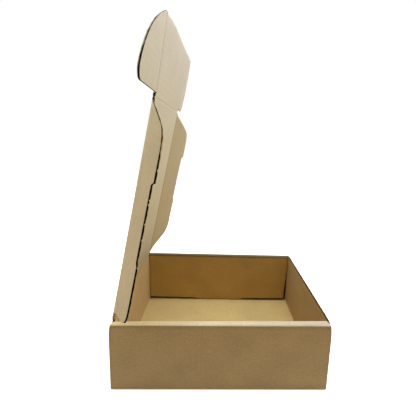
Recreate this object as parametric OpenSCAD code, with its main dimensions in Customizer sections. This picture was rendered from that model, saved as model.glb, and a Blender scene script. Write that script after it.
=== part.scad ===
// Roll-end mailer box folded from one die-cut sheet of kraft corrugated board, lid open.
// The origin is the middle of the floor's underside. X runs from the back wall, which carries the lid,
// to the front wall, Y from the near end wall to the far one, and Z up.
// The flutes run along Y in the sheet: they open at the lid flaps' free edges, the ears' outer edges,
// the ends of the tuck flap and the foot of the inner end panels. Every other edge is a crease or a cut
// along a flute, and is closed.

/* [Tray] */
// Outer size of the tray from its back wall to its front wall
tray_w = 250; // [200:1:320]
// Outer size of the tray from one end wall to the other
tray_l = 250; // [200:1:320]
// Outer height of the tray
tray_h = 85; // [70:1:110]
// Outer radius of a crease that is folded to 90 degrees
fold_r = 1.8; // [0.8:0.1:2.4]

/* [Board] */
// Thickness of the corrugated board
board = 2.7; // [2.4:0.1:3.2]
// Thickness of each flat liner sheet
liner = 0.3; // [0.2:0.05:0.45]
// Thickness of the waved sheet between the liners
medium = 0.25; // [0.15:0.05:0.35]
// Distance from one flute to the next
flute_pitch = 6.2; // [5.5:0.1:7.5]
// Running gap beside each working crease
crease_gap = 0.3; // [0.2:0.05:0.5]

/* [Roll-over end walls] */
// Gap between the layers of an end wall
layer_gap = 1.45; // [0.5:0.05:2]
// Gap between the inner panel's foot and the floor
foot_gap = 1.6; // [1:0.1:2.5]
// Gap between the inner panel's ends and the front and back walls
panel_end_gap = 0.8; // [0.4:0.1:2]
// Width of the locking tab on the inner panel's foot
tab_w = 83; // [40:1:120]
// Gap round the locking tab in its slot
tab_gap = 0.4; // [0.3:0.1:1]
// Length of the corner flaps held between the layers
corner_flap_len = 75; // [40:1:90]
// How far each end of the top strip is cut back at its inner edge
strip_cut = 3; // [1:0.5:5]

/* [Lid] */
// Angle of the lid above its closed position
lid_open = 78.2; // [60:0.1:110]
// Gap between the closed lid's side flaps and the inner end panels
lid_side_gap = 3.3; // [1:0.1:5]
// Gap between the closed tuck flap and the front wall
tuck_gap = 0.5; // [0.3:0.1:2]

/* [Lid side flaps] */
// Inward fold of the near side flap from the lid's plane
near_fold = 20; // [0:0.5:40]
// Inward fold of the far side flap from the lid's plane
far_fold = 13; // [0:0.5:40]
// Depth of the side flap's front part
flap_front_d = 77.5; // [60:0.5:79]
// Depth of the side flap's middle part
flap_middle_d = 69; // [50:0.5:70]
// Depth of the side flap's rear part
flap_rear_d = 73.5; // [50:0.5:76]
// Length of the side flap's front part, from the tuck crease
flap_front_len = 71; // [50:1:90]
// Length of the side flap's rear part, from the hinge crease
flap_rear_len = 97.5; // [70:1:110]
// Length of each sloped step in the free edge
flap_step_len = 3; // [1:0.5:6]
// Distance from the hinge crease to the side flap's rear corner
flap_rear_inset = 9; // [4:0.5:15]
// Lean of the side flap's rear end, along the fold for each unit of depth
flap_rear_lean = 0.34; // [0.2:0.01:0.5]
// Lean of the side flap's front end, along the fold for each unit of depth
flap_front_lean = 0.34; // [0.2:0.01:0.4]
// Reach of the rounding at the side flap's outer corners
flap_corner = 19; // [5:1:22]
// Gap between the side flap's front corner and the folded tuck flap
flap_front_gap = 0.8; // [0.5:0.1:3]

/* [Tuck flap and ears] */
// Depth of the tuck flap from its crease to its edge
tuck_d = 78.5; // [60:0.5:80]
// Gap between the folded ears and the folded side flaps
ear_side_gap = 1.7; // [0.8:0.1:4]
// Width of an ear, from its crease to its tip
ear_w = 90; // [50:1:100]
// Height of an ear's lower edge above the tuck crease
ear_foot = 5; // [4:0.5:10]
// Radius of an ear's lower corner
ear_r = 11; // [4:1:16]
// Height at which an ear's outer curve would have its shoulder
ear_shoulder_h = 54; // [40:1:60]
// Width of an ear at that shoulder
ear_shoulder_w = 78; // [45:1:90]
// Width of an ear's flat top
ear_top_w = 4; // [0:0.5:10]
// Width of the cut between an ear's lower edge and the tuck flap's shoulder
ear_cut = 0.6; // [0.4:0.1:2]

/* [Hidden] */

kraft_out = [0.60, 0.49, 0.33];
kraft_in = [0.72, 0.60, 0.42];

ARC_STEPS = 10;
CURVE_STEPS = 12;
half = board / 2;
edge_back = half + crease_gap;
wall_stack = 3 * board + 2 * layer_gap;
back_x = -tray_w / 2;
near_y = -tray_l / 2;

// Crease lines of the lid, measured on the middle of the board
hinge_z = tray_h - half;
lid_len = tray_w - board - tuck_gap - 2 * half;
lid_fold_y = wall_stack + lid_side_gap + half;
ear_fold_y = lid_fold_y + board + ear_side_gap;
lid_half_w = tray_l / 2 - lid_fold_y;
ear_half_w = tray_l / 2 - ear_fold_y;

// Where an end wall's inner panel starts, from the outside of the back wall
panel_end = board + panel_end_gap;

// How far the flutes stay closed beside a crease, and how far a cutting prism runs past an edge
crushed = 3;
past = 1;

function arc(centre, r, from, to, steps = ARC_STEPS) =
    [for (i = [0:steps]) centre + r * [cos(from + (to - from) * i / steps), sin(from + (to - from) * i / steps)]];

function curve(a, b, c, steps = CURVE_STEPS) =
    [for (i = [0:steps]) let (t = i / steps) (1 - t) * (1 - t) * a + 2 * t * (1 - t) * b + t * t * c];

// A corner of an outline rounded over the given reach, on the way from one point to the next
function rounded(from, corner, to, reach) =
    curve(corner + reach * (from - corner) / norm(from - corner), corner,
        corner + reach * (to - corner) / norm(to - corner));

// A flat outline given as [along X, across Y], as board centred on Z = 0
module sheet(outline) {
    translate([0, 0, -half]) linear_extrude(height = board) polygon(outline);
}

// The rounded edge of a panel that turns on a crease along X from x0 to x1, or along Y
module nose_x(x0, x1) {
    translate([x0, 0, 0]) rotate([0, 90, 0]) cylinder(h = x1 - x0, r = half, $fn = 48);
}

module nose_y(y0, y1) {
    translate([0, y0, 0]) rotate([-90, 0, 0]) cylinder(h = y1 - y0, r = half, $fn = 48);
}

// The open flutes between x0 and x1, cut along Y from y0 to y1, wide at one liner and the other in turn
module flutes(x0, x1, y0, y1) {
    reach = half - liner;
    wide = flute_pitch / 2 - 2 * medium;
    count = floor((x1 - x0 - 2 * wide) / (flute_pitch / 2));
    margin = (x1 - x0 - count * flute_pitch / 2) / 2;
    for (i = [0:count]) {
        side = i % 2 == 0 ? 1 : -1;
        translate([x0 + margin + i * flute_pitch / 2, y1, 0])
            rotate([90, 0, 0])
                linear_extrude(height = y1 - y0)
                    polygon([[-wide, side * reach], [wide, side * reach], [0, side * (medium - reach)]]);
    }
}

// Places on the open lid: X runs from the hinge to the tuck crease, Z out of the lid's outer face
module on_lid() {
    translate([back_x + half, 0, hinge_z]) rotate([0, -lid_open, 0]) children();
}

module on_tuck() {
    on_lid() translate([lid_len, 0, 0]) children();
}

// A member of one end wall, drawn from the tray's back near corner and mirrored to the far end
module both_ends() {
    for (end = [0, 1]) mirror([0, end, 0]) translate([back_x, near_y, 0]) children();
}

module tray_floor() {
    slot = [tab_w + 2 * tab_gap, board + 2 * tab_gap, board + 2 * past];
    difference() {
        translate([back_x, near_y, 0]) cube([tray_w, tray_l, board]);
        both_ends()
            translate([(tray_w - slot[0]) / 2, wall_stack - board - tab_gap, -past]) cube(slot);
    }
}

// Outer panel, top strip and inner panel: one band that rolls over the corner flaps
module roll_over_band() {
    profile = concat(
        [[0, 0], [board, 0], [board, tray_h - board], [wall_stack - board, tray_h - board],
         [wall_stack - board, board + foot_gap], [wall_stack, board + foot_gap]],
        arc([wall_stack - fold_r, tray_h - fold_r], fold_r, 0, 90),
        [[0, tray_h]]);
    plan = [[0, 0], [tray_w, 0], [tray_w - strip_cut, wall_stack], [strip_cut, wall_stack]];
    difference() {
        intersection() {
            rotate([90, 0, 90]) linear_extrude(height = tray_w) polygon(profile);
            linear_extrude(height = tray_h) polygon(plan);
        }
        for (x = [-past, tray_w - panel_end])
            translate([x, wall_stack - board - layer_gap / 2, 0])
                cube([panel_end + past, board + layer_gap, tray_h - board]);
    }
}

module locking_tab() {
    translate([(tray_w - tab_w) / 2, wall_stack - board, crease_gap])
        cube([tab_w, board, 2 * board + foot_gap]);
}

// The inner panel's flutes stand upright and open at its foot and at the tab's end
module end_wall() {
    difference() {
        union() {
            roll_over_band();
            locking_tab();
        }
        translate([0, wall_stack - half, 0]) rotate([90, 0, 0])
            flutes(panel_end, tray_w - panel_end, -past, tray_h - board - crushed);
    }
}

// A corner flap, which folds off a long wall and stands between the layers of an end wall
module corner_flap() {
    height = tray_h - 2 * board - 2 * crease_gap;
    outline = concat(arc([fold_r, fold_r], fold_r, 180, 270),
        [[corner_flap_len, 0], [corner_flap_len, board], [board, board], [board, 2 * board], [0, 2 * board]]);
    translate([0, board + layer_gap, board + crease_gap]) linear_extrude(height = height) polygon(outline);
}

// A long wall up to the given height, drawn for the back, lower where the end walls' strips cross it
module long_wall(top) {
    turn = board + layer_gap + fold_r;
    inside = wall_stack + crease_gap;
    translate([back_x, near_y + turn, 0])
        cube([board, tray_l - 2 * turn, tray_h - board - crease_gap]);
    translate([back_x, near_y + inside, 0]) cube([board, tray_l - 2 * inside, top]);
    both_ends() corner_flap();
}

module tray() {
    bottom_folds = concat(
        arc([back_x + fold_r, fold_r], fold_r, 180, 270), arc([-back_x - fold_r, fold_r], fold_r, 270, 360),
        [[-back_x, tray_h], [back_x, tray_h]]);
    end_folds = concat(
        arc([near_y + fold_r, fold_r], fold_r, 180, 270), arc([-near_y - fold_r, fold_r], fold_r, 270, 360),
        arc([-near_y - fold_r, tray_h - fold_r], fold_r, 0, 90),
        arc([near_y + fold_r, tray_h - fold_r], fold_r, 90, 180));
    color(kraft_out) intersection() {
        translate([0, -near_y, 0]) rotate([90, 0, 0]) linear_extrude(height = tray_l) polygon(bottom_folds);
        translate([back_x, 0, 0]) rotate([90, 0, 90]) linear_extrude(height = tray_w) polygon(end_folds);
        union() {
            tray_floor();
            both_ends() end_wall();
            long_wall(tray_h - board - crease_gap);
            mirror([1, 0, 0]) long_wall(tray_h);
        }
    }
}

module lid_panel() {
    side = lid_half_w - edge_back;
    color(kraft_in) on_lid() {
        sheet([[0, -side], [lid_len - edge_back, -side], [lid_len - edge_back, side], [0, side]]);
        nose_y(-side, side);
    }
}

// A side flap, with X along its fold from the hinge and Y out to its free edge
module lid_flap() {
    rear = flap_rear_inset;
    front = lid_len - half - flap_front_gap;
    front_step = lid_len - flap_front_len;
    rear_corner = [rear + flap_rear_lean * flap_rear_d, flap_rear_d];
    front_corner = [front - flap_front_lean * flap_front_d, flap_front_d];
    outline = concat(
        [[rear, 0]], rounded([rear, 0], rear_corner, [flap_rear_len, flap_rear_d], flap_corner),
        [[flap_rear_len - flap_step_len, flap_rear_d], [flap_rear_len, flap_middle_d],
         [front_step - flap_step_len, flap_middle_d], [front_step, flap_front_d]],
        rounded([front_step, flap_front_d], front_corner, [front, 0], flap_corner), [[front, 0]]);
    nose_x(rear, front);
    difference() {
        sheet(outline);
        flutes(rear + crushed, front - crushed, crushed, flap_front_d + past);
    }
}

module lid_flap_near() {
    color(kraft_in) on_lid() translate([0, -lid_half_w, 0]) mirror([0, 1, 0]) rotate([-near_fold, 0, 0]) lid_flap();
}

module lid_flap_far() {
    color(kraft_in) on_lid() translate([0, lid_half_w, 0]) rotate([-far_fold, 0, 0]) lid_flap();
}

module tuck_flap() {
    side = ear_half_w - edge_back;
    shoulder = ear_foot - ear_cut;
    color(kraft_in) on_tuck() difference() {
        union() {
            sheet([[0, -lid_half_w], [shoulder, -lid_half_w], [shoulder, -side], [tuck_d, -side],
                   [tuck_d, side], [shoulder, side], [shoulder, lid_half_w], [0, lid_half_w]]);
            nose_y(-lid_half_w, lid_half_w);
        }
        for (end = [0, 1]) mirror([0, end, 0])
            flutes(-half, shoulder, side + crushed, lid_half_w + past);
    }
}

// An ear, with X up the tuck flap and Y from its crease to its tip
module ear() {
    outline = concat(
        [[ear_foot, 0]], arc([ear_foot + ear_r, ear_w - ear_r], ear_r, 180, 90),
        curve([ear_foot + ear_r, ear_w], [ear_shoulder_h, ear_shoulder_w], [tuck_d, ear_top_w]),
        [[tuck_d, 0]]);
    nose_x(ear_foot, tuck_d);
    difference() {
        sheet(outline);
        flutes(ear_foot + liner, tuck_d - liner, crushed, ear_w + past);
    }
}

module ear_near() {
    color(kraft_in) on_tuck() translate([0, -ear_half_w, 0]) mirror([0, 1, 0]) ear();
}

module ear_far() {
    color(kraft_in) on_tuck() translate([0, ear_half_w, 0]) ear();
}

tray();
lid_panel();
lid_flap_near();
lid_flap_far();
tuck_flap();
ear_near();
ear_far();
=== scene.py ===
# %% [markdown]
# # A corrugated mailer box with its lid standing open
#
# The real box is one die-cut sheet of kraft corrugated board. Its two end walls roll over the corner
# flaps and lock into the floor with a tab, so it stands without glue. The lid carries two side flaps,
# a tuck flap and the tuck flap's two ears.
#
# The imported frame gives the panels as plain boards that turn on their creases. This script gives them
# the things that make board look like board: two liners with a waved sheet between them, crushed and
# rounded creases, and the fibres of unprinted kraft paper.

import math

import bmesh
import bpy
import numpy as np
from mathutils import Matrix, Vector


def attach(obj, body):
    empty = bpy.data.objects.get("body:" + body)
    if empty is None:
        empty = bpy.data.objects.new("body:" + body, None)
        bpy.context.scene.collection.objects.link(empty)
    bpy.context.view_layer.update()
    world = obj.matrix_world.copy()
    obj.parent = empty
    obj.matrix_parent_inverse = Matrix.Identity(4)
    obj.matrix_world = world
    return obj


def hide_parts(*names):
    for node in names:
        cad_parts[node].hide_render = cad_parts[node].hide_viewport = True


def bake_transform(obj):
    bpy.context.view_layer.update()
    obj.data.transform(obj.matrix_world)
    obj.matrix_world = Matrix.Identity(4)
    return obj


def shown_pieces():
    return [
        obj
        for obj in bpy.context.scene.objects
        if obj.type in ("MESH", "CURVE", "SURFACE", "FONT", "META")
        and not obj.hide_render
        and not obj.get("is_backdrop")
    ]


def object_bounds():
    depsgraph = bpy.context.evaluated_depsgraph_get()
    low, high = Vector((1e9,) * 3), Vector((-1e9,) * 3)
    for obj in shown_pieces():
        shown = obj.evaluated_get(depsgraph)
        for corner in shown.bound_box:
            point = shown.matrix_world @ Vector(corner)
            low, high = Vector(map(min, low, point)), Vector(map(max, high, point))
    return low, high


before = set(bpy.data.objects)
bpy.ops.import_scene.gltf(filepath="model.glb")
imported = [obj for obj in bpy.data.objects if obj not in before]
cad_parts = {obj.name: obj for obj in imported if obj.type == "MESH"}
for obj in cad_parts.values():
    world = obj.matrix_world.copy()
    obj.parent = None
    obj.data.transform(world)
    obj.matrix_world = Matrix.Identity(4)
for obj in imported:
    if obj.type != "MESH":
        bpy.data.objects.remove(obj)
start_low, start_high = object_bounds()
print("nodes", sorted(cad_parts))

# %% [markdown]
# ## The camera
#
# The box was seen from one end, a little above the rim and a little to the right of the lid. A camera
# could be aimed with a constraint, but three plain angles say it too: how far it turns right of the
# far end, how far it looks down, and how far it rolls. They, the place, the lens and the shift come
# from matching the box's corners and creases in the photograph.

# %% Camera
camera_place = (-0.013253, -0.483798, 0.287163)
heading = math.radians(3.0654)
dip = math.radians(14.6866)
roll = math.radians(2.1911)

camera_data = bpy.data.cameras.new("camera")
camera_data.lens = 30.98
camera_data.sensor_width = 36.0
camera_data.shift_x = -0.05567
camera_data.shift_y = 0.05593
camera_data.clip_start = 0.01
camera = bpy.data.objects.new("camera", camera_data)
tilt = Matrix.Rotation(math.pi / 2 - dip, 4, "X")
turn = Matrix.Rotation(-heading, 4, "Z") @ tilt @ Matrix.Rotation(roll, 4, "Z")
camera.matrix_world = Matrix.Translation(camera_place) @ turn
bpy.context.scene.collection.objects.link(camera)
bpy.context.scene.camera = camera
print("camera at", [round(x, 4) for x in camera.matrix_world.translation])

# %% [markdown]
# ## Sizes
#
# Lengths are in millimetres up to the moment a mesh is made. They are those of the folded sheet: the
# tray's outer size, the board's layers, and where each crease runs. They could be read off the packed
# panels, but written out they also say how the sheet was drawn. CREASE is how far the crushed board
# reaches on either side of a crease that still works, and the folds are how far the lid's side flaps
# stand from flat.

# %% Sizes of the sheet
tray_w, tray_l, tray_h = 250.0, 250.0, 85.0
board, liner, medium, pitch = 2.7, 0.3, 0.25, 6.2
half = board / 2
fold_r = 1.8
layer_gap, foot_gap, crease_gap = 1.45, 1.6, 0.3
wall_stack = 3 * board + 2 * layer_gap
panel_end = board + 0.8
strip_cut = 3.0
tab_w = 83.0
corner_flap_len = 75.0
lid_open = math.radians(78.2)
lid_len = tray_w - board - 0.5 - 2 * half
lid_half_w = tray_l / 2 - (wall_stack + 3.3 + half)
ear_half_w = lid_half_w - board - 1.7
tuck_d = 78.5
near_fold, far_fold = 20.0, 13.0
CREASE = 2.4
print("wall stack", wall_stack, "lid length", round(lid_len, 2), "half width", round(lid_half_w, 2))

# %% [markdown]
# ## A way to build board
#
# Each panel is made from two grids of points, one for the liner on each face, that share their rows
# and columns. One closed shell joins them, and round its border runs the cut edge: two paper lips
# with a groove between them, as a die leaves it. A solidify modifier would be quicker, but it knows
# nothing of liners. Each point also knows where it lay on the flat sheet, so that fibres and flutes
# run on through every fold, and its wear and painted light: above 0 where broken fibres show pale or
# where a highlight or bounce light is painted, and below 0 where the paper is darker, mostly painted
# shade where hardly any light comes, in creases, corners and between layers, and along some cuts.


# %% Board builder
class Board:
    """Collects closed shells of board and makes one mesh of them."""

    def __init__(self):
        self.points, self.flat, self.wear_and_painted_light = [], [], []
        self.quads, self.sides, self.count = [], [], 0

    def add(self, points, flat, wear_and_painted_light):
        """Adds points and gives their numbers, in the shape they came in."""
        shape = points.shape[:-1]
        size = int(np.prod(shape))
        numbers = np.arange(self.count, self.count + size).reshape(shape)
        self.points.append(points.reshape(-1, 3))
        self.flat.append(np.broadcast_to(flat, shape + (2,)).reshape(-1, 2))
        self.wear_and_painted_light.append(np.broadcast_to(wear_and_painted_light, shape).reshape(-1))
        self.count += size
        return numbers

    def fill(self, numbers, side, keep=None):
        """Faces between the neighbours in a grid of point numbers, or only where keep is true."""
        corners = (numbers[:-1, :-1], numbers[1:, :-1], numbers[1:, 1:], numbers[:-1, 1:])
        quads = np.stack(corners, -1)
        quads = quads.reshape(-1, 4) if keep is None else quads[keep]
        self.quads.append(quads)
        self.sides.append(np.full(len(quads), side, np.float32))

    def shell(self, outer, inner, flat, wear_and_painted_light, lips=(), holes=(), sides=(0.0, 1.0, 2.0)):
        """A closed piece of board between two grids. Each lip is (share of the thickness, depth),
        and each hole (first row, last row, first column, last column). The sides say what is seen on
        the outer face, the inner face and the cut edge: 0 and 1 are the liners, 2 a cut, painted darker
        than its paper as shade, and 3 the medium or the inside of a flute, painted near black as shade."""
        rows, cols = outer.shape[:2]
        numbers_out = self.add(outer, flat, wear_and_painted_light)
        numbers_in = self.add(inner, flat, wear_and_painted_light)
        keep = np.ones((rows - 1, cols - 1), bool)
        for r0, r1, c0, c1 in holes:
            keep[r0:r1, c0:c1] = False
            ring_r = [*range(r0, r1), *[r1] * (c1 - c0), *range(r1, r0, -1), *[r0] * (c1 - c0 + 1)]
            ring_c = [*[c0] * (r1 - r0), *range(c0, c1), *[c1] * (r1 - r0), *range(c1, c0 - 1, -1)]
            self.fill(np.stack((numbers_out[ring_r, ring_c], numbers_in[ring_r, ring_c])), sides[2])
        self.fill(numbers_out, sides[0], keep)
        self.fill(numbers_in, sides[1], keep)
        r, c = np.arange(rows), np.arange(cols)
        end_r, end_c = rows - 1, cols - 1
        loop_r = np.concatenate((np.zeros(end_c, int), r[:-1], np.full(end_c, end_r), r[:0:-1], [0]))
        loop_c = np.concatenate((c[:-1], np.full(end_r, end_c), c[:0:-1], np.zeros(end_r, int), [0]))
        middle = (outer + inner) / 2
        inward = np.zeros_like(middle)
        inward[0] += unit(middle[1] - middle[0])
        inward[-1] += unit(middle[-2] - middle[-1])
        inward[:, 0] += unit(middle[:, 1] - middle[:, 0])
        inward[:, -1] += unit(middle[:, -2] - middle[:, -1])
        rings = [numbers_out[loop_r, loop_c]]
        for share, depth in lips:
            place = outer * (1 - share) + inner * share + inward * depth
            ring = self.add(place[loop_r[:-1], loop_c[:-1]], flat[loop_r[:-1], loop_c[:-1]], 1.0)
            rings.append(np.append(ring, ring[0]))
        rings.append(numbers_in[loop_r, loop_c])
        self.fill(np.stack(rings), sides[2])

    def make(self, name, warp=None):
        """Makes the object, in metres, with its place on the flat sheet as a UV map."""
        points = np.concatenate(self.points)
        if warp is not None:
            points = warp(points)
        quads = np.concatenate(self.quads)
        mesh = bpy.data.meshes.new(name)
        mesh.from_pydata((points / 1000).tolist(), [], quads.tolist())
        flat = np.concatenate(self.flat) / 1000
        layer = mesh.uv_layers.new(name="flat_sheet")
        layer.data.foreach_set("uv", flat[quads.reshape(-1)].astype(np.float32).reshape(-1))
        painted_light_and_wear = mesh.attributes.new("wear_and_painted_light", "FLOAT", "POINT")
        painted_light_and_wear.data.foreach_set("value", np.concatenate(self.wear_and_painted_light).astype(np.float32))
        face = mesh.attributes.new("side", "FLOAT", "FACE")
        face.data.foreach_set("value", np.concatenate(self.sides))
        work = bmesh.new()
        work.from_mesh(mesh)
        bmesh.ops.recalc_face_normals(work, faces=work.faces)
        work.to_mesh(mesh)
        work.free()
        mesh.shade_smooth()
        mesh.set_sharp_from_angle(angle=math.radians(38))
        made = bpy.data.objects.new(name, mesh)
        bpy.context.scene.collection.objects.link(made)
        print(name, len(points), "points", 2 * len(quads), "triangles")
        return made


def unit(vectors):
    """Vectors of length 1."""
    return vectors / np.maximum(np.linalg.norm(vectors, axis=-1, keepdims=True), 1e-9)


def near(distance, reach):
    """1 at a crease or a cut, fading to 0 further off."""
    return np.exp(-np.abs(distance) / reach)


# The points of a cut edge, as (share of the way from the outer liner to the inner one, depth in mm).
CUT = ((0.1, 0.0), (0.16, 0.9), (0.5, 0.35), (0.84, 0.9), (0.9, 0.0))
print("a cut edge has", len(CUT), "points between its liners")

# %% [markdown]
# ## The tray's floor and long walls
#
# The floor and the two long walls are one run of board, bent up at two creases that lie along the
# flutes. It could be modelled as five boxes, but then the creases would be sharp: here a path goes up
# one wall, round the crease, over the floor and up the other wall, and the liner on the inside turns
# a tight corner while the outside one turns a wide one.


# %% Paths round folds
def line(start, end, count):
    """Points from start up to, and not with, end."""
    share = np.arange(count)[:, None] / count
    return np.array(start) * (1 - share) + np.array(end) * share


def bow(centre, radius, first, last, count):
    """Points on an arc, from one angle in degrees up to, and not with, another."""
    angle = np.radians(first + (last - first) * np.arange(count) / count)
    return np.array(centre) + radius * np.stack((np.cos(angle), np.sin(angle)), -1)


def lengths(path):
    """How far along the path each point is."""
    return np.append(0, np.cumsum(np.linalg.norm(np.diff(path, axis=0), axis=1)))


def spread(low, high, step, *stops):
    """Even steps from low to high that also stop at the given places."""
    marks = sorted([low, high, *stops])
    runs = [np.linspace(a, b, max(2, math.ceil((b - a) / step) + 1))[:-1] for a, b in zip(marks, marks[1:])]
    return np.append(np.concatenate(runs), high)


RIPPLE = 0.02
STEP = pitch / 6
bead = 0.5
turn_steps = 7
slot_gap = 0.4
slot_half = tab_w / 2 + slot_gap

back = -tray_w / 2
wall_top_back = tray_h - half - CREASE
outer_path = np.concatenate((
    line((back, wall_top_back), (back, fold_r), 14),
    bow((back + fold_r, fold_r), fold_r, 180, 270, turn_steps),
))
inner_path = np.concatenate((
    line((back + board, wall_top_back), (back + board, board + bead), 14),
    bow((back + board + bead, board + bead), bead, 180, 270, turn_steps),
))
floor_x = spread(back + fold_r + 0.3, -back - fold_r - 0.3, STEP, -slot_half, slot_half)
floor_out = np.stack((floor_x, floor_x * 0), -1)
floor_in = np.stack((np.clip(floor_x, back + board + bead, -back - board - bead), floor_x * 0 + board), -1)
front_out = outer_path[::-1] * (-1, 1)
front_in = inner_path[::-1] * (-1, 1)
for path in (front_out, front_in):
    path[turn_steps:, 1] = np.linspace(path[turn_steps, 1], tray_h, len(path) - turn_steps)
start_out = np.array([[back + fold_r, 0.0]])
start_in = np.array([[back + board + bead, board]])
run_out = np.concatenate((outer_path, start_out, floor_out, start_out * (-1, 1), front_out))
run_in = np.concatenate((inner_path, start_in, floor_in, start_in * (-1, 1), front_in))
print("floor run", len(run_out), "rows,", round(lengths(run_out)[-1]), "mm long")

# %% [markdown]
# ## Spreading the run out
#
# The run is a line in X and Z until it is spread out along Y. Two slots in the floor take the end
# walls' tabs. Cutting them with a boolean would leave ragged faces, so the grid has rows and columns
# at their edges, and the faces between those are left out. The floor past the slots lies under the
# end walls' layers, and is painted dark as the shade there. The flutes show as a ripple a fiftieth
# of a millimetre high.

# %% Floor and long walls
# UNLIT paints shade: a deep dark on faces that lie between layers, where hardly any light comes.
UNLIT = -7.5
tray = Board()
on_floor = np.abs(run_out[:, 0]) <= -back - fold_r - 0.2
wall_half_y = tray_l / 2 - (board + layer_gap + fold_r)
reach_out = np.where(on_floor, tray_l / 2 - fold_r, wall_half_y)
reach_in = np.where(on_floor, tray_l / 2 - board, wall_half_y)
slot_y = tray_l / 2 - wall_stack + board + slot_gap
slot_in = tray_l / 2 - wall_stack - slot_gap
share = spread(-1, 1, 0.045, -slot_y / reach_out.max(), -slot_in / reach_out.max(),
               slot_in / reach_out.max(), slot_y / reach_out.max())
along = lengths(run_out)
sheet_u = along - along[on_floor].mean()
crease_1 = along[on_floor][0] - 1.5
crease_2 = along[on_floor][-1] + 1.5
to_crease = np.minimum(np.abs(along - crease_1), np.abs(along - crease_2))
to_end = np.minimum(along, along[-1] - along)


def swell(path):
    """Which way each point of a path faces, out of its board."""
    direction = unit(np.gradient(path, axis=0))
    return np.stack((direction[:, 1], -direction[:, 0]), -1)


calm = 1 - near(to_crease, 2.5)
wave = (RIPPLE * np.cos(2 * math.pi * sheet_u / pitch) * calm)[:, None]
face_out = run_out - swell(run_out) * wave
face_in = run_in - swell(run_out) * wave


def lift(path, reach):
    """The grid of points of a path in X and Z, spread out along Y."""
    grid = np.zeros((len(path), len(share), 3))
    grid[..., 0] = path[:, :1]
    grid[..., 2] = path[:, 1:]
    grid[..., 1] = reach[:, None] * share
    return grid


flat = np.stack(np.broadcast_arrays(sheet_u[:, None], reach_out[:, None] * share), -1)
# The floor past the slots gets the painted shade of UNLIT.
wear_and_painted_light = near(to_crease, 1.2)[:, None] + UNLIT * (np.abs(flat[..., 1]) > slot_y) * on_floor[:, None]
# The back wall's rim is painted paler beside the hinge's near end, as light bounced off the near rim.
bounce_lit_patch = (run_out[:, 0] < 0) * (run_out[:, 1] > 72)
wear_and_painted_light = wear_and_painted_light + 3.0 * bounce_lit_patch[:, None] * (flat[..., 1] < -98)
slot_edges = (-slot_y, -slot_in, slot_in, slot_y)
slot_rows = [np.argmin(np.abs(run_out[:, 0] - x) + run_out[:, 1]) for x in (-slot_half, slot_half)]
slot_cols = [np.argmin(np.abs(share * reach_out.max() - y)) for y in slot_edges]
print("slot rows", slot_rows, "cols", slot_cols)
tray.shell(lift(face_out, reach_out), lift(face_in, reach_in), flat, wear_and_painted_light, CUT,
           holes=((*slot_rows, *slot_cols[:2]), (*slot_rows, *slot_cols[2:])))

# %% [markdown]
# ## The end walls
#
# Each end wall is a band that leaves the floor, goes up as the outer panel, crosses as the top strip
# and comes down as the inner panel, with a tab that drops into a slot in the floor. Its flutes stand
# upright. The strip's ends are cut back a little, so that it clears the long walls. One path serves
# both ends, mirrored for the far one.
#
# A real inner panel never stands true. It leans in at the far end, narrows towards its foot, stands off
# the front corner, and its foot floats a little over the floor beside the tab.

# %% One end wall, drawn for the near end
q_end = wall_stack
strip_in = np.array((q_end - fold_r, tray_h - fold_r))
band_out = np.concatenate((
    bow((fold_r, fold_r), fold_r, 270, 180, 8),
    line((0, fold_r), (0, tray_h - fold_r), 16),
    bow((fold_r, tray_h - fold_r), fold_r, 180, 90, 8),
    line((fold_r, tray_h), (q_end - fold_r, tray_h), 4),
    bow(strip_in, fold_r, 90, 0, 8),
    line((q_end, tray_h - fold_r), (q_end, board + foot_gap), 17),
    [[q_end, board + foot_gap]],
))
band_in = np.concatenate((
    bow((board + bead, board + bead), bead, 270, 180, 8),
    line((board, board + bead), (board, tray_h - board - bead), 16),
    bow((board + bead, tray_h - board - bead), bead, 180, 90, 8),
    line((board + bead, tray_h - board), (q_end - board - bead, tray_h - board), 4),
    bow((q_end - board - bead, tray_h - board - bead), bead, 90, 0, 8),
    line((q_end - board, tray_h - board - bead), (q_end - board, board + foot_gap), 17),
    [[q_end - board, board + foot_gap]],
))
band_at = lengths(band_out)
folds = band_at[[4, 28, 40]]
to_fold = np.abs(band_at[:, None] - folds).min(1)
strip_row, panel_row = 28, 45
band_half = np.full(len(band_out), tray_w / 2)
lower = np.clip(fold_r - band_out[:strip_row, 1], 0, fold_r)
band_half[:strip_row] -= fold_r - np.sqrt(fold_r**2 - lower**2)
on_strip = slice(strip_row, panel_row)
band_half[on_strip] -= strip_cut * np.clip(band_out[on_strip, 0] / q_end, 0, 1)
band_half[panel_row:] = tray_w / 2 - panel_end
down = np.clip((tray_h - board - band_out[:, 1]) / (tray_h - 2 * board - foot_gap), 0, 1)
down[:panel_row] = 0
band_x = spread(-1, 1, 1.15 * STEP / (tray_w / 2))
band_half -= 0.5 * down**2
right_gap = 3.0 * np.clip(down / 0.5 - 0.5, 0, 1)
sheet_x = band_half[:, None] * band_x - right_gap[:, None] * np.clip(band_x, 0, 1) ** 8
past_tab = np.clip(np.abs(sheet_x) - tab_w / 2 + 0.5, 0, None)
foot_rise = (1.9 * np.clip(past_tab, 0, 1) + 0.012 * past_tab) * down[:, None] ** 8
foot_lean = 2.2 * down[:, None] ** 1.5
wave = RIPPLE * np.cos(2 * math.pi * sheet_x / pitch) * (1 - near(to_fold, 2.5))[:, None]
out_way = swell(band_out)


def end_band(path, way, mirrored):
    """The grid of a band path in Y and Z, spread out along X, at the near end or the far one."""
    grid = np.zeros((len(path), len(band_x), 3))
    grid[..., 0] = sheet_x
    grid[..., 1] = path[:, :1] + way[:, :1] * wave - tray_l / 2 + foot_lean * mirrored
    grid[..., 2] = path[:, 1:] + way[:, 1:] * wave + foot_rise
    grid[..., 1] *= -1 if mirrored else 1
    return grid


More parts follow.
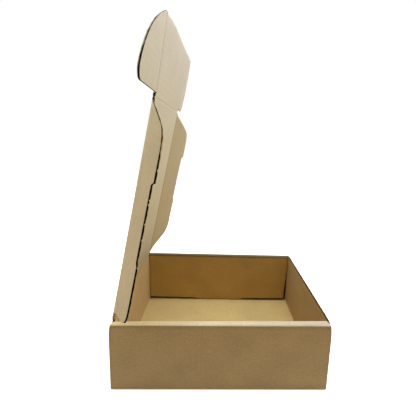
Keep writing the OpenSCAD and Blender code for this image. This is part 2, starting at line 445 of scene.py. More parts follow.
for mirrored in (False, True):
    band_v = (tray_l / 2 - fold_r + band_at) * (1 if mirrored else -1)
    flat = np.stack(np.broadcast_arrays(sheet_x, band_v[:, None]), -1)
    # Along the end walls' side edges the paper is painted dark, as shade on the crushed bevel of the cut.
    wear_and_painted_light = near(to_fold, 1.2)[:, None] - 3.5 * near(tray_w / 2 - np.abs(sheet_x), 0.9)
    if not mirrored:
        # painted shade in the corner where the near rim meets the hinge
        wear_and_painted_light[36:panel_row, :2] = -8
    tray.shell(end_band(band_out, out_way, mirrored), end_band(band_in, out_way, mirrored), flat, wear_and_painted_light, CUT)
print("end wall band", sheet_x.shape, "folds at", np.round(folds, 1))

# %% [markdown]
# ## Locking tabs and corner flaps
#
# A tab goes on from each inner panel's foot into its slot. The corner flaps fold in from the long
# walls' ends and stand between the layers of the end walls, where only their corners are ever seen,
# so they are plain boards with a rounded fold, painted dark as the shade between the layers.

# %% Locking tabs
for end in (-1, 1):
    tab_x = spread(-tab_w / 2, tab_w / 2, STEP)
    tab_z = np.array([board + foot_gap + 0.01, 3.0, 1.5, crease_gap])
    grid = np.zeros((len(tab_z), len(tab_x), 3))
    grid[..., 0] = tab_x
    grid[..., 2] = tab_z[:, None]
    outer, inner = grid.copy(), grid.copy()
    outer[..., 1] = end * (tray_l / 2 - wall_stack)
    inner[..., 1] = end * (tray_l / 2 - wall_stack + board)
    flat = np.stack((grid[..., 0], end * (tray_l / 2 + 250 - grid[..., 2])), -1)
    tray.shell(outer, inner, flat, 0.0, CUT)
print("tabs", tab_w, "mm wide, slots", round(slot_y - slot_in, 2), "mm")

# %% Corner flaps
flap_z = spread(board + crease_gap, tray_h - board - crease_gap, 8)
flap_q = board + layer_gap
fold_out = np.concatenate((
    bow((fold_r, flap_q + fold_r), fold_r, 180, 270, 8),
    line((fold_r, flap_q), (corner_flap_len, flap_q), 14),
    [[corner_flap_len, flap_q]],
))
fold_in = np.concatenate((
    bow((board + bead, flap_q + board + bead), bead, 180, 270, 8),
    line((board + bead, flap_q + board), (corner_flap_len, flap_q + board), 14),
    [[corner_flap_len, flap_q + board]],
))
flap_at = lengths(fold_out)
for side_x in (-1, 1):
    for end in (-1, 1):
        grids = []
        for path in (fold_out, fold_in):
            grid = np.zeros((len(path), len(flap_z), 3))
            grid[..., 0] = side_x * (tray_w / 2 - path[:, :1])
            grid[..., 1] = end * (tray_l / 2 - path[:, 1:])
            grid[..., 2] = flap_z
            grids.append(grid)
        flat_u = side_x * (tray_w / 2 + flap_z)
        flat_v = end * (wall_half_y + flap_at)
        flat = np.stack(np.broadcast_arrays(flat_u, flat_v[:, None]), -1)
        # The corner flaps are painted dark (UNLIT) as the shade between the layers.
        tray.shell(*grids, flat, UNLIT, CUT)

# %% [markdown]
# ## How this tray has settled
#
# A folded box is never quite square. A lattice could bend it, but a function of each point's place is
# easier to read: it pulls the near end's rim in, spreads its foot, and lets the rim sag towards the
# hinge, the inner side more than the outer one.


# %% Tray done
def settle(points):
    """The near end of this tray has spread at its foot, and its rim sags a little to the left."""
    x, y, height = points[:, 0], points[:, 1], np.clip(points[:, 2] / tray_h, 0, 1)
    ends = np.clip((-100 - y) / 25, 0, 1)
    ends = ends**2 * (3 - 2 * ends)
    top = np.clip((height - 0.8) / 0.2, 0, 1) ** 2
    pull = 1.6 * top - 0.05 - 1.2 * (1 - height)
    inward = np.clip((y + tray_l / 2) / wall_stack, 0, 1)
    sag = (-0.3 + 0.0075 * x) * (1 - inward) + (-0.9 + 0.0146 * x) * inward
    at_rim = np.clip((-108 - y) / 5, 0, 1)
    moved = points.copy()
    moved[:, 0] -= pull * ends * x / (tray_w / 2)
    moved[:, 2] += sag * at_rim * height**3
    return moved


tray_board = tray.make("tray_board", settle)
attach(tray_board, "tray")
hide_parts("tray")

# %% [markdown]
# ## The lid
#
# The lid is a flat panel between four creases. It is drawn on its own plane, with X from the hinge to
# the tuck crease, Y across and Z out of its outer face, and then stood up at the angle it is open.

# %% Lid panel
FINE = pitch / 8


def on_lid(points):
    """Points on the lid's plane, as points on the open lid."""
    x, y, z = points[..., 0], points[..., 1], points[..., 2]
    world_x = -tray_w / 2 + half + x * math.cos(lid_open) - z * math.sin(lid_open)
    world_z = tray_h - half + x * math.sin(lid_open) + z * math.cos(lid_open)
    return np.stack((world_x, y, world_z), -1)


def ripple(u, fade):
    """How far the liner rises over the flutes' crests."""
    return RIPPLE * np.cos(2 * math.pi * u / pitch) * fade


lid_u = spread(CREASE, lid_len - CREASE, FINE)[:, None]
lid_v = spread(-lid_half_w + CREASE, lid_half_w - CREASE, 7.0)[None, :]
lid_u, lid_v = np.broadcast_arrays(lid_u, lid_v)
to_side = lid_half_w - np.abs(lid_v)
to_end = np.minimum(lid_u, lid_len - lid_u)
calm = (1 - near(to_end - CREASE, 2.5)) * (1 - near(to_side - CREASE, 2.5))
rise = ripple(lid_u, calm)
sheet_offset = -(tray_w / 2 + tray_h)
lid = Board()
lid.shell(on_lid(np.stack((lid_u, lid_v, half + rise), -1)),
          on_lid(np.stack((lid_u, lid_v, -half + rise), -1)),
          np.stack((sheet_offset - lid_u, lid_v), -1),
          np.maximum(near(to_side, 1.2), near(to_end, 1.2)), CUT)
lid_board = lid.make("lid_board")
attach(lid_board, "lid")
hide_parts("lid_panel")

# %% [markdown]
# ## The lid's side flaps and the ears
#
# Their free edges run across the flutes, so these panels are hollow: one thin shell for each liner and
# one for the waved sheet between them, which ends a little inside the edge. The die pinches the liners
# together along the cut. A texture of dark dots would be cheaper, but it would stay flat at the corners
# and from the side.


# %% A hollow panel
def hollow(columns, reach, place, flat_at, pinch, recess, press, torn=(), cut_darkening=0.0):
    """A panel with open flutes, from its crease out to reach at each column. Pinch lists places along
    the panel with the share of the board's thickness that the die has pressed shut there, towards the
    outer face where press is 1 and the inner one where it is -1. The waved sheet ends recess short of
    the edge. At each torn place the liners are pressed shut and frayed pale. The last argument is how
    much darker the outer liner is along the cut."""
    made = Board()
    slope = np.gradient(reach, columns)
    lean = np.minimum(np.sqrt(1 + slope**2), (reach - CREASE) / 4)
    tail = np.array((3.0, 2.0, 1.2, 0.6, 0.25, 0.0))
    body_share = np.linspace(0, 1, 11)[:-1]
    body = CREASE + (reach - tail[0] * lean - CREASE)[:, None] * body_share
    v = np.concatenate((body, reach[:, None] - tail * lean[:, None]), 1)
    u = np.broadcast_to(columns[:, None], v.shape)
    cut_distance = (reach[:, None] - v) / np.sqrt(1 + slope[:, None] ** 2)
    ends = np.minimum(u - columns[0], columns[-1] - u)
    pinch = np.interp(u, *zip(*pinch)) * (1 + 0.10 * np.sin(u * 0.83) + 0.10 * np.sin(u * 0.37 + 2))
    squeeze = 1 - pinch * np.maximum(near(cut_distance, 0.9), near(ends, 0.6))
    frayed = np.max([np.zeros(u.shape), *[near((u - place_u) / 1.1, 1) ** 2 for place_u in torn]], axis=0)
    squeeze = squeeze * (1 - 0.75 * frayed * near(cut_distance, 1.5))
    middle = press * half * (1 - squeeze)
    calm = (1 - near(v - CREASE, 2.5)) * (1 - near(cut_distance, 1.0))
    rise = ripple(u, calm)
    flat = flat_at(u, v)
    # Paler along the cut and at torn places, and darker by the crease as painted shade.
    wear_and_painted_light = 0.6 * near(cut_distance, 0.7) - near(v, 1.2) + 6 * frayed * near(cut_distance, 0.7)
    cut_dark = cut_darkening * near(cut_distance, 0.9)
    lift = half * squeeze
    rise = rise + middle
    outer_in, inner_in = lift + rise - liner, -lift + rise + liner
    made.shell(place(u, v, lift + rise), place(u, v, outer_in), flat, wear_and_painted_light - cut_dark, sides=(0.0, 3.0, 2.0))
    made.shell(place(u, v, inner_in), place(u, v, -lift + rise), flat, wear_and_painted_light, sides=(3.0, 1.0, 2.0))
    v = np.minimum(v, np.maximum(reach - recess, CREASE)[:, None])
    some = [0, 3, 6, 9, 11, 13, 15]
    v, u, middle = v[:, some], u[:, some], middle[:, some]
    room = (half * squeeze - liner - medium / 2)[:, some]
    crest = middle + room * np.cos(2 * math.pi * u / pitch)
    above, below = crest + medium / 2, crest - medium / 2
    made.shell(place(u, v, above), place(u, v, below), flat_at(u, v), 0.0, sides=(3.0, 3.0, 3.0))
    return made


def corner(before, point, after, reach):
    """A corner of an outline rounded over the given reach."""
    before, point, after = (np.array(p, float) for p in (before, point, after))
    start = point + reach * unit(before - point)
    end = point + reach * unit(after - point)
    t = np.linspace(0, 1, 13)[:, None]
    return (1 - t) ** 2 * start + 2 * t * (1 - t) * point + t**2 * end


def outline_columns(outline, first, last):
    """Columns across an outline, one for each of its corners too, and how far each one reaches."""
    stops = [x for x in outline[:, 0] if first + 0.15 < x < last - 0.15]
    columns = np.unique(np.round(np.concatenate((spread(first, last, FINE), stops)), 3))
    columns = columns[np.append(True, np.diff(columns) > 0.12)]
    return columns, np.interp(columns, outline[:, 0], outline[:, 1])


print("hollow boards have liners", liner, "and a waved sheet", medium, "mm thick")

# %% [markdown]
# ## The lid's side flaps
#
# Each flap narrows away from the lid, and has a shallow recess in its free edge and two rounded
# corners. Its root starts close to the hinge and runs out in a flatter line. Only the points that the
# shape needs are given, and the corners are curves. The edge is nicked where the liners were torn.

# %% Outline of a side flap
root = (5.5, 0)
knee = (14.9, 16.7)
flap_lean = 0.34
rear_h, recess_h, front_h = 73.5, 69.0, 77.5
corner_reach = 19
front = lid_len - half - 0.8
rear_corner = (9 + flap_lean * rear_h, rear_h)
front_corner = (front - flap_lean * front_h, front_h)
recess_1, recess_2, recess_slope = 97.5, lid_len - 71, 3
near_torn = (94, 119, 134, 152, 156, 184)
far_torn = (60, 131)
flap_outline = np.concatenate((
    [root, knee],
    corner(knee, rear_corner, (recess_1, rear_h), corner_reach),
    [(recess_1 - recess_slope, rear_h), (recess_1, recess_h)],
    [(recess_2 - recess_slope, recess_h), (recess_2, front_h)],
    corner((recess_2, front_h), front_corner, (front, 0), corner_reach),
    [(front, 0)],
))
first_column = root[0] + 0.56 * (CREASE + 1)
last_column = front - flap_lean * (CREASE + 1)
flap_columns, flap_reach = outline_columns(flap_outline, first_column, last_column)
print("side flap", len(flap_columns), "columns, reaching", round(flap_reach.max(), 1), "mm")


# %% Side flaps
def flap_place(end, fold):
    """Where a side flap's points go: end is -1 for the near flap and 1 for the far one."""
    fold = math.radians(fold)

    def place(u, v, z):
        y = end * (lid_half_w + v * math.cos(fold) + z * math.sin(fold))
        return on_lid(np.stack(np.broadcast_arrays(u, y, z * math.cos(fold) - v * math.sin(fold)), -1))

    return place


SIDES = (("near", -1, near_fold), ("far", 1, far_fold))
flap_pinch = ((0, 0.3), (185, 0.3), (200, 0.6), (250, 0.6))
for name, end, fold in SIDES:
    made = hollow(
        flap_columns, flap_reach, flap_place(end, fold),
        lambda u, v, end=end: np.stack((sheet_offset - u, end * (lid_half_w + v)), -1),
        flap_pinch, recess=1.8, press=1, torn=near_torn if end < 0 else far_torn)
    flap_board = made.make(name + "_flap_board")
    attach(flap_board, name + "_flap")
    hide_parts("lid_flap_" + name)

# %% [markdown]
# ## The tuck flap and its ears
#
# The tuck flap goes on from the lid, and an ear folds off each of its ends. Nothing holds them, so on
# this box they have relaxed: the near end leans out a little and the far end in. A simple deform
# modifier could twist them, but the crease strips have to follow the same twist, so one function
# places every point of the flap, its ears and their creases.

# %% Tuck flap
near_lean, far_lean = math.radians(-2.7), math.radians(3.1)
near_ear_back, far_ear_back = math.radians(-0.3), math.radians(2.8)
TRIM = ((-105, -1.2), (-80, 0.9), (-50, 2.0), (0, 0.8), (58, -0.6), (89, 0.3), (105, -2.2))


def on_tuck(points):
    """Points on the tuck flap's plane, with X up from its crease, twisted and put on the open lid.
    TRIM lists places across the flap with how far its free edge stands off a straight line there."""
    x, y, z = points[..., 0], points[..., 1], points[..., 2]
    x = x * (1 + np.interp(y, *zip(*TRIM)) / tuck_d)
    share = (np.clip(y / ear_half_w, -1, 1) + 1) / 2
    lean = near_lean + (far_lean - near_lean) * share
    lean = lean * np.clip(x / 4, 0, 1)
    back = np.clip(y - ear_half_w, 0, None) * math.tan(far_ear_back)
    back = back + np.clip(-y - ear_half_w, 0, None) * math.tan(near_ear_back)
    new_x = x * np.cos(lean) + z * np.sin(lean)
    new_z = z * np.cos(lean) - x * np.sin(lean) + back
    return on_lid(np.stack((new_x + lid_len, y, new_z), -1))


shoulder = 4.4
tuck_u = np.concatenate((spread(CREASE, shoulder - 0.02, FINE), spread(shoulder + 0.02, tuck_d - 2, FINE),
                         tuck_d - np.array((1.2, 0.6, 0.25, 0.0))))[:, None]
tuck_share = spread(-1, 1, 0.06)[None, :]
tuck_half = np.where(tuck_u < shoulder, lid_half_w, ear_half_w - CREASE)
tuck_v = tuck_share * tuck_half
tuck_u = np.broadcast_to(tuck_u, tuck_v.shape)
calm = (1 - near(tuck_u - CREASE, 2.5)) * (1 - near(tuck_half - np.abs(tuck_v), 2.5))
calm = calm * (1 - near(tuck_d - tuck_u, 1))
rise = ripple(tuck_u, calm)
at_edge = near(tuck_d - tuck_u, 1.2)
# The pale band along the free edge (3 times at_edge) is painted light: the crushed bevel catching light
# from above.
tuck = Board()
tuck.shell(on_tuck(np.stack((tuck_u, tuck_v, half * (1 - 0.1 * at_edge) + rise), -1)),
           on_tuck(np.stack((tuck_u, tuck_v, -half * (1 - 0.8 * at_edge) + rise), -1)),
           np.stack((sheet_offset - lid_len - tuck_u, tuck_v), -1),
           np.maximum.reduce([near(tuck_u, 1.2), near(ear_half_w - np.abs(tuck_v), 1.2), 3.0 * at_edge]),
           CUT)
tuck_board = tuck.make("tuck_board")
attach(tuck_board, "tuck")
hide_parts("tuck_flap")

# %% [markdown]
# ## The ears
#
# An ear slides in beside the end wall when the box is closed, so its free edge is one long curve with
# a tight corner at the foot. It could be traced point by point, but a curve between two ends that is
# pulled towards a third point has no bumps. Outside, the paper is darker along the cut.

# %% Ears
ear_foot, ear_r, ear_w = 5.0, 11.0, 90.0
ear_start, ear_pull, ear_tip = (ear_foot + ear_r, ear_w), (54.0, 78.0), (tuck_d, 4.0)
ear_pinch = ((0, 0.45), (18, 0.5), (34, 0.72), (80, 0.76))
t = np.linspace(0, 1, 25)[:, None]
ear_curve = (1 - t) ** 2 * np.array(ear_start) + 2 * t * (1 - t) * np.array(ear_pull)
ear_curve = ear_curve + t**2 * np.array(ear_tip)
ear_outline = np.concatenate((
    bow((ear_foot + ear_r, ear_w - ear_r), ear_r, 180, 90, 12),
    ear_curve,
))
ear_columns, ear_reach = outline_columns(ear_outline, ear_foot, tuck_d)
# Each ear's outer liner is darker along its cut.
for name, end, _ in SIDES:
    made = hollow(
        ear_columns, ear_reach,
        lambda u, v, z, end=end: on_tuck(np.stack(np.broadcast_arrays(u, end * (ear_half_w + v), z), -1)),
        lambda u, v, end=end: np.stack((sheet_offset - lid_len - u, end * (ear_half_w + v)), -1),
        ear_pinch, recess=1.4, press=-1, cut_darkening=9.0)
    ear_board = made.make(name + "_ear_board")
    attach(ear_board, name + "_ear")
    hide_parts("ear_" + name)

# %% [markdown]
# ## The creases that still work
#
# At a crease the flutes are crushed flat, and the two liners bend as one. Each of these strips lies
# between two panels, and the paper turns smoothly from one to the other at the angle the crease has
# at rest. Two panels that meet in a line would leave a gap as they turn.


# %% Crease strips
def crease_strip(name, lengthwise, place, flat_at, bodies, start, end, fold=0.0, pale=-1.0, cut=1.0):
    """A crushed strip of board along a crease. Place takes (along, across, out of the outer face).
    Fold is how many degrees the strip has turned at rest, pale how much paler the crease is, above 0
    for crushed fibres and below 0 for painted shade in the crease, and cut what is seen on its two ends."""
    across = np.linspace(-CREASE, CREASE, 17)[:, None]
    along = lengthwise[None, :]
    across, along = np.broadcast_arrays(across, along)
    weight = np.clip((across + CREASE) / (2 * CREASE), 0, 1)
    turned = math.radians(fold) * weight**2 * (3 - 2 * weight)
    uneven = 0.05 * np.sin(along * 1.7) + 0.05 * np.sin(along * 0.61 + 1)
    out_z = half - 0.3 * np.exp(-(across / 0.9) ** 2)
    in_z = -half + (0.85 + uneven) * np.exp(-(across / 0.8) ** 2)
    grids = []
    for z in (out_z, in_z):
        moved_t = across * np.cos(turned) + z * np.sin(turned)
        moved_z = z * np.cos(turned) - across * np.sin(turned)
        grids.append(place(along, moved_t, moved_z))
    made = Board()
    flat = np.stack(np.broadcast_arrays(*flat_at(along, across)), -1)
    # Below 0, pale paints shade along the crease; above 0 the crushed fibres show paler.
    wear_and_painted_light = pale * near(across, 1.2)
    made.shell(*grids, flat, wear_and_painted_light, ((0.2, 0.15), (0.5, 0.4), (0.8, 0.15)), sides=(0.0, 1.0, cut))
    strip = made.make(name)
    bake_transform(strip)
    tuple(start)
    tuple(end)
    return strip


def ends_of(place, fold):
    """Where a strip starts and ends to turn, at the middle of the board."""
    turned = math.radians(fold)
    inside = CREASE - 0.35
    points = []
    for t, z in ((-inside, 0.0), (inside * math.cos(turned), -inside * math.sin(turned))):
        points.append(tuple(place(np.array(100.0), np.array(t), np.array(z)) / 1000))
    return points


# %% Where each strip lies
def hinge_place(along, t, z):
    y, t, z = np.broadcast_arrays(along, t, z)
    return np.stack((-tray_w / 2 + half - z, y, tray_h - half + t), -1)


def tuck_crease_place(along, t, z):
    y, t, z = np.broadcast_arrays(along, t, z)
    return on_tuck(np.stack((t, y, z), -1))


def side_crease_place(end):
    def place(along, t, z):
        u, t, z = np.broadcast_arrays(along, t, z)
        return on_lid(np.stack((u, end * (lid_half_w + t), z), -1))
    return place


def ear_crease_place(end):
    def place(along, t, z):
        u, t, z = np.broadcast_arrays(along, t, z)
        return on_tuck(np.stack((u, end * (ear_half_w + t), z), -1))
    return place


hinge_fold = 90 - math.degrees(lid_open)
hinge_along = spread(-lid_half_w, lid_half_w, 3)
crease_strip("hinge_crease", hinge_along, hinge_place, lambda y, t: (sheet_offset - t, y),
             ("tray", "lid"), *ends_of(hinge_place, hinge_fold), hinge_fold)
crease_strip("tuck_crease", hinge_along, tuck_crease_place, lambda y, t: (sheet_offset - lid_len - t, y),
             ("lid", "tuck"), *ends_of(tuck_crease_place, 0), pale=1.5, cut=2.0)
for name, end, fold in SIDES:
    place = side_crease_place(end)
    along = spread(root[0] + 0.3, front - 0.34, 3)
    crease_strip(name + "_flap_crease", along, place,
                 lambda u, t, end=end: (sheet_offset - u, end * (lid_half_w + t)),
                 ("lid", name + "_flap"), *ends_of(place, fold), fold)
    place = ear_crease_place(end)
    crease_strip(name + "_ear_crease", spread(ear_foot, tuck_d, 3), place,
                 lambda u, t, end=end: (sheet_offset - lid_len - u, end * (ear_half_w + t)),
                 ("tuck", name + "_ear"), *ends_of(place, 0))

# %% [markdown]
# ## Kraft paper
#
# Kraft liner is unbleached paper: long brown fibres that lie mostly across the flutes, a cloudy
# mottle, and here and there a pale or a dark speck. Seen at a low angle its fibres catch the light and
# look paler. Over the flutes it is a hair lighter and darker in turn. Where it is worn, broken fibres
# show pale; the same value also carries painted light, paler where a highlight or bounce light is
# painted, and painted shade, darker in creases and corners, between layers and along some cuts. A
# picture of paper would stretch at the folds: all of this is drawn on the flat sheet, in millimetres,
# so it follows every fold.
#
# Arithmetic on nodes reads best as arithmetic, so a small class wraps a node's output.


# %% Node helpers
class Wire:
    """One output of a shader node. Arithmetic on wires makes Math nodes."""

    def __init__(self, nodes, socket):
        self.nodes, self.socket = nodes, socket

    def math(self, operation, *others):
        values = {0: self, **{i + 1: other for i, other in enumerate(others)}}
        return self.nodes.add("ShaderNodeMath", {"operation": operation}, values)

    def __add__(self, other):
        return self.math("ADD", other)

    def __radd__(self, other):
        return self.math("ADD", other)

    def __sub__(self, other):
        return self.math("SUBTRACT", other)

    def __rsub__(self, other):
        return (self * -1.0) + other

    def __mul__(self, other):
        return self.math("MULTIPLY", other)

    def __rmul__(self, other):
        return self.math("MULTIPLY", other)

    def __truediv__(self, other):
        return self.math("DIVIDE", other)

    def __rtruediv__(self, other):
        return self**-1.0 * other

    def __pow__(self, other):
        return self.math("POWER", other)

    def step(self, low, high):
        """0 below low, 1 above high and smooth in between."""
        values = {"Value": self, "From Min": low, "From Max": high}
        return self.nodes.add("ShaderNodeMapRange", {"interpolation_type": "SMOOTHSTEP"}, values)


class Nodes:
    """The nodes of one material or world."""

    def __init__(self, tree):
        self.tree = tree
        tree.nodes.clear()

    def add(self, kind, settings=None, values=None, output=0):
        """Adds a node of this type with its settings and with a value or a wire for each socket."""
        node = self.tree.nodes.new(kind)
        for name, value in (settings or {}).items():
            setattr(node, name, value)
        for name, value in (values or {}).items():
            if isinstance(value, Wire):
                self.tree.links.new(value.socket, node.inputs[name])
            else:
                node.inputs[name].default_value = value
        return Wire(self, node.outputs[output]) if node.outputs else None

    def finish(self, kind, surface):
        """Adds the output node."""
        self.add(kind, None, {"Surface": surface})

    def vector(self, x, y, z=0.0):
        return self.add("ShaderNodeCombineXYZ", None, {"X": x, "Y": y, "Z": z})

    def scaled(self, colour, factor):
        """A colour made lighter or darker."""
        return self.add("ShaderNodeVectorMath", {"operation": "SCALE"}, {0: colour, "Scale": factor})

    def mix(self, factor, first, second):
        values = {0: factor, 6: first, 7: second}
        return self.add("ShaderNodeMix", {"data_type": "RGBA"}, values, 2)

    def noise(self, place, scale, detail=2.0, roughness=0.5):
        values = {"Vector": place, "Scale": scale, "Detail": detail, "Roughness": roughness}
        return self.add("ShaderNodeTexNoise", None, values)


print("node helpers: Wire and Nodes")

# %% [markdown]
# ## The paper's tones
#
# The inner liner is paler than the outer one, and neither has one tone all over. One flat colour would
# look like plastic, so each face has a few tones along the flat sheet that run into each other. They
# were matched to the photograph, so they carry painted light and shade: the lid darkens towards the
# hinge, the floor is painted lighter and the walls inside the tray darker. The end walls' rims are
# painted too, pale at the near end for the light it catches and dark at the far one as shade. Cuts and
# the waved sheet are painted dark as shade, because no light reaches the bottom of a flute.


# %% Paper tones
def paper(red, green, blue):
    """A colour given as the share of red, green and blue light that the paper sends back."""
    return (red, green, blue, 1.0)


# Each list goes along the flat sheet, in millimetres: (place, colour from there on).
# Painted light and shade: the tuck and lid darken towards the hinge, the walls inside the tray are darker
# and the floor lighter than their paper.
INNER_ALONG = (
    (-535, paper(0.62, 0.535, 0.42)),
    (-495, paper(0.555, 0.475, 0.335)),
    (-455, paper(0.53, 0.445, 0.28)),
    (-400, paper(0.515, 0.425, 0.245)),
    (-290, paper(0.47, 0.36, 0.172)),
    (-225, paper(0.40, 0.31, 0.132)),
    (-206, paper(0.45, 0.292, 0.10)),
    (-128, paper(0.45, 0.292, 0.10)),
    (-122, paper(0.625, 0.478, 0.203)),
    (122, paper(0.625, 0.478, 0.203)),
    (128, paper(0.39, 0.245, 0.055)),
)
# Up the end walls' outer faces; the dark stop at 206.5 is a painted shade line in the crease under the rim.
OUTER_ACROSS = (
    (124, paper(0.50, 0.33, 0.137)),
    (160, paper(0.445, 0.293, 0.119)),
    (202.0, paper(0.42, 0.265, 0.10)),
    (206.5, paper(0.35, 0.222, 0.075)),
    (223, paper(0.455, 0.28, 0.074)),
)
# The lid's outer face and its flaps, painted paler towards the top, where more light falls.
OUTER_ALONG = (
    (-450, paper(0.53, 0.41, 0.20)),
    (-380, paper(0.45, 0.325, 0.14)),
    (-230, paper(0.425, 0.295, 0.118)),
)
# The near rim, painted paler than its paper for the light it catches from above.
LIT_RIM_ALONG = (
    (-115, paper(0.70, 0.56, 0.29)),
    (-20, paper(0.69, 0.57, 0.385)),
    (90, paper(0.56, 0.465, 0.33)),
)
# Painted shade: the waved sheet and the flutes' insides near black, and the cut edges much darker than
# their paper, as no light reaches into a flute.
SHADED_MEDIUM = paper(0.012, 0.007, 0.004)
CUT_PAPER = paper(0.10, 0.062, 0.028)
# The far rim is painted dark as shade.
FAR_RIM_SHADE = paper(0.10, 0.068, 0.022)
FLAP_SHADE = paper(0.36, 0.245, 0.088)
print("tones", len(INNER_ALONG), "inner,", len(OUTER_ACROSS) + len(OUTER_ALONG), "outer")

# %% [markdown]
# ## Fibres, mottle and specks
#
# Noise that is stretched across the flutes makes fibres, and plain noise makes clouds and specks. Each
# side of the board takes another slice of it, so that the two liners differ. The outer liner is the
# coarser paper, and the lid's inner liner the smoothest.

# %% Fibres and mottle
kraft = bpy.data.materials.new("kraft_board")
kraft.use_nodes = True
make = Nodes(kraft.node_tree)
sheet = make.add("ShaderNodeTexCoord", None, None, "UV")
split = make.add("ShaderNodeSeparateXYZ", None, {0: sheet}).socket.node
u = Wire(make, split.outputs["X"]) * 1000.0
v = Wire(make, split.outputs["Y"]) * 1000.0
side = make.add("ShaderNodeAttribute", {"attribute_name": "side"}, None, "Fac")
painted_light_and_wear = make.add("ShaderNodeAttribute", {"attribute_name": "wear_and_painted_light"}, None, "Fac")
is_inner = side.step(0.4, 0.6)
is_cut = side.step(1.4, 1.6)
is_medium = side.step(2.4, 2.6)

layer_z = side * 37.0
fibres = make.noise(make.vector(u * 0.3, v * 1.9, layer_z), 1.0, 3.0, 0.6)
long_fibres = make.noise(make.vector(u * 0.09, v * 1.1, layer_z), 1.0, 2.0, 0.5)
mottle = make.noise(make.vector(u, v, layer_z), 0.42, 3.0, 0.62)
cloud = make.noise(make.vector(u, v, layer_z), 0.028, 2.0, 0.5)
speck = make.noise(make.vector(u, v * 1.4, layer_z + 5.0), 1.25, 1.0, 0.5)
pale_specks = speck.step(0.70, 0.78)
dark_specks = 1.0 - speck.step(0.21, 0.29)
flute_wave = (u * (2 * math.pi / pitch)).math("COSINE")
across = v.math("ABSOLUTE")
print("kraft noises:", sum(node.type == "TEX_NOISE" for node in kraft.node_tree.nodes))

# %% How light the paper is
grain = (
    (fibres - 0.5) * 0.22
    + (long_fibres - 0.5) * 0.14
    + (mottle - 0.5) * 0.26
    + (cloud - 0.5) * 0.16
    + pale_specks * 0.10
    - dark_specks * 0.16
)
on_lid_part = 1.0 - u.step(-212.0, -208.0)
contrast = 1.85 - is_inner * (on_lid_part * 0.6 + 0.45)
# The wear value brings painted light and painted shade into the brightness as well as wear.
brightness = 1.0 + grain * contrast + flute_wave * 0.008 + painted_light_and_wear * 0.10
print("nodes so far", len(kraft.node_tree.nodes))


# %% Tones over the sheet
def along_sheet(place, stops):
    """A colour that changes along the flat sheet, from stop to stop."""
    tone = stops[0][1]
    for (low, _), (high, after) in zip(stops, stops[1:]):
        tone = make.mix(place.step(low, high), tone, after)
    return tone


inner = along_sheet(u, INNER_ALONG)
on_flap = on_lid_part * across.step(lid_half_w - 1, lid_half_w + 1) * u.step(-456.0, -452.0)
inner = make.mix(on_flap * 0.55, inner, FLAP_SHADE)
outer = make.mix(on_lid_part, along_sheet(across, OUTER_ACROSS), along_sheet(u, OUTER_ALONG))
on_rim = across.step(207.2, 208.5) * (1.0 - across.step(219.0, 223.0)) * (1.0 - on_lid_part)
outer = make.mix(on_rim, outer, make.mix(v.step(-10.0, 10.0), along_sheet(u, LIT_RIM_ALONG), FAR_RIM_SHADE))
tone = make.mix(is_inner, outer, inner)
tone = make.mix(is_cut, tone, CUT_PAPER)
tone = make.mix(is_medium, tone, SHADED_MEDIUM)
tone = make.scaled(tone, brightness)
print("nodes with tones", len(kraft.node_tree.nodes))

# %% [markdown]
# ## The surface
#
# Kraft paper is dull, with a little sheen from its fibres, and its bump is a tenth of a millimetre
# deep. A cut edge is torn paper with no smooth face, so it is plain diffuse and gets no highlight.

# %% Surface
relief = fibres * 0.5 + long_fibres * 0.3 + mottle * 0.5
bump = make.add("ShaderNodeBump", None, {"Strength": 0.35, "Distance": 0.00012, "Height": relief}, "Normal")
roughness = 0.72 + (mottle - 0.5) * 0.16 + painted_light_and_wear * 0.05
surface = make.add("ShaderNodeBsdfPrincipled", None, {
    "Base Color": tone,
    "Roughness": roughness,
    "Specular IOR Level": 0.18,
    "Sheen Weight": 0.12,
    "Sheen Roughness": 0.5,
    "Normal": bump,
})
dull = make.add("ShaderNodeBsdfDiffuse", None, {"Color": tone, "Roughness": 0.6})
board_look = make.add("ShaderNodeMixShader", None, {0: is_cut, 1: surface, 2: dull})
make.finish("ShaderNodeOutputMaterial", board_look)

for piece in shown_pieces():
    piece.data.materials.clear()
    piece.data.materials.append(kraft)

# %% [markdown]
# ## Light and background
#
# The box stood on white in a white room. The world gives each of the six directions its own strength,
# most beyond the box and least behind the camera. A picture of a room would do as well, but no mirror
# here shows it. What the camera sees of the floor and the backdrop is white, also in a mirror or
# through glass, while the light they give the box stays as it is, and the floor keeps its shadow.

# %% World
ROOM = {"left": 0.35, "right": 0.35, "front": 0.2, "back": 1.3, "up": 0.3, "down": 0.3}


def seen_as_white(nodes):
    """1 for what the camera sees, straight or in a mirror or through glass, and 0 for other light."""
    rays = [nodes.add("ShaderNodeLightPath", None, None, name)
            for name in ("Is Camera Ray", "Is Glossy Ray", "Is Transmission Ray")]
    return rays[0].math("MAXIMUM", rays[1]).math("MAXIMUM", rays[2])


world = bpy.data.worlds.new("white_room")
bpy.context.scene.world = world
world.use_nodes = True
make = Nodes(world.node_tree)
direction = make.add("ShaderNodeTexCoord", None, None, "Generated")
split = make.add("ShaderNodeSeparateXYZ", None, {0: direction}).socket.node
room_light = 0.0
for axis, low, high in (("X", "left", "right"), ("Y", "front", "back"), ("Z", "down", "up")):
    along = Wire(make, split.outputs[axis])
    room_light = (along.math("MAXIMUM", 0.0) ** 2.0) * ROOM[high] + room_light
    room_light = ((along * -1.0).math("MAXIMUM", 0.0) ** 2.0) * ROOM[low] + room_light
seen = seen_as_white(make)
strength = room_light + (1.0 - room_light) * seen
background = make.add("ShaderNodeBackground", None, {"Color": (1.0, 1.0, 1.0, 1.0), "Strength": strength})
make.finish("ShaderNodeOutputWorld", background)
print("world directions", len(ROOM))

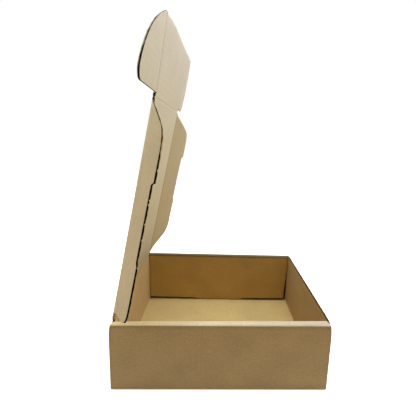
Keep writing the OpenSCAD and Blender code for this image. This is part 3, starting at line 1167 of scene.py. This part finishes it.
# %% Floor
floor_mesh = bpy.data.meshes.new("floor")
corners = [(-3.0, -3.0, -0.0004), (3.0, -3.0, -0.0004), (3.0, 3.0, -0.0004), (-3.0, 3.0, -0.0004)]
floor_mesh.from_pydata(corners, [], [(0, 1, 2, 3)])
floor = bpy.data.objects.new("floor", floor_mesh)
bpy.context.scene.collection.objects.link(floor)
white = bpy.data.materials.new("white_floor")
white.use_nodes = True
make = Nodes(white.node_tree)
seen = seen_as_white(make)
lit = make.add("ShaderNodeBsdfDiffuse", None, {"Color": (0.8, 0.8, 0.8, 1.0)})
glow = make.add("ShaderNodeEmission", None, {"Strength": seen * 0.72})
both = make.add("ShaderNodeAddShader", None, {0: lit, 1: glow})
make.finish("ShaderNodeOutputMaterial", both)
floor_mesh.materials.append(white)
floor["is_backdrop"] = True
bpy.context.scene.view_settings.view_transform = "Standard"

print("floor below the box by", round(-corners[0][2] * 1000, 2), "mm")

# %% [markdown]
# ## Lamps
#
# Four large soft lamps, the strongest overhead, give the shade inside the tray and the soft shadow
# under the box. A sun would draw hard edges. Each has a place in metres, a size and its watts.

# %% Lamps
LAMPS = {
    "top": ((0.0, 0.0, 1.4), 0.9, 10.6),
    "upper_right": ((1.1, 0.0, 0.9), 0.9, 7.2),
    "upper_left": ((-1.1, 0.0, 0.9), 0.9, 4.9),
    "upper_back": ((0.0, 1.1, 0.9), 0.9, 2.3),
}
for name, (place, size, watts) in LAMPS.items():
    lamp_data = bpy.data.lights.new("lamp_" + name, "AREA")
    lamp_data.shape = "DISK"
    lamp_data.size = size
    lamp_data.energy = watts
    lamp = bpy.data.objects.new("lamp_" + name, lamp_data)
    lamp.location = place
    aim = Vector((0.0, 0.0, 0.1)) - Vector(place)
    lamp.rotation_mode = "QUATERNION"
    lamp.rotation_quaternion = aim.to_track_quat("-Z", "Y")
    bpy.context.scene.collection.objects.link(lamp)
print("lamps", len(LAMPS))

# %% [markdown]
# ## Size and finish
#
# The box that holds everything is measured once more and kept beside the one from the start, so
# that both can be compared with the imported frame.

# %% Size and finish
size = {"start": [list(start_low), list(start_high)], "end": [list(x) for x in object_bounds()]}
print("size", [round(b - a, 4) for a, b in zip(*size["end"])])
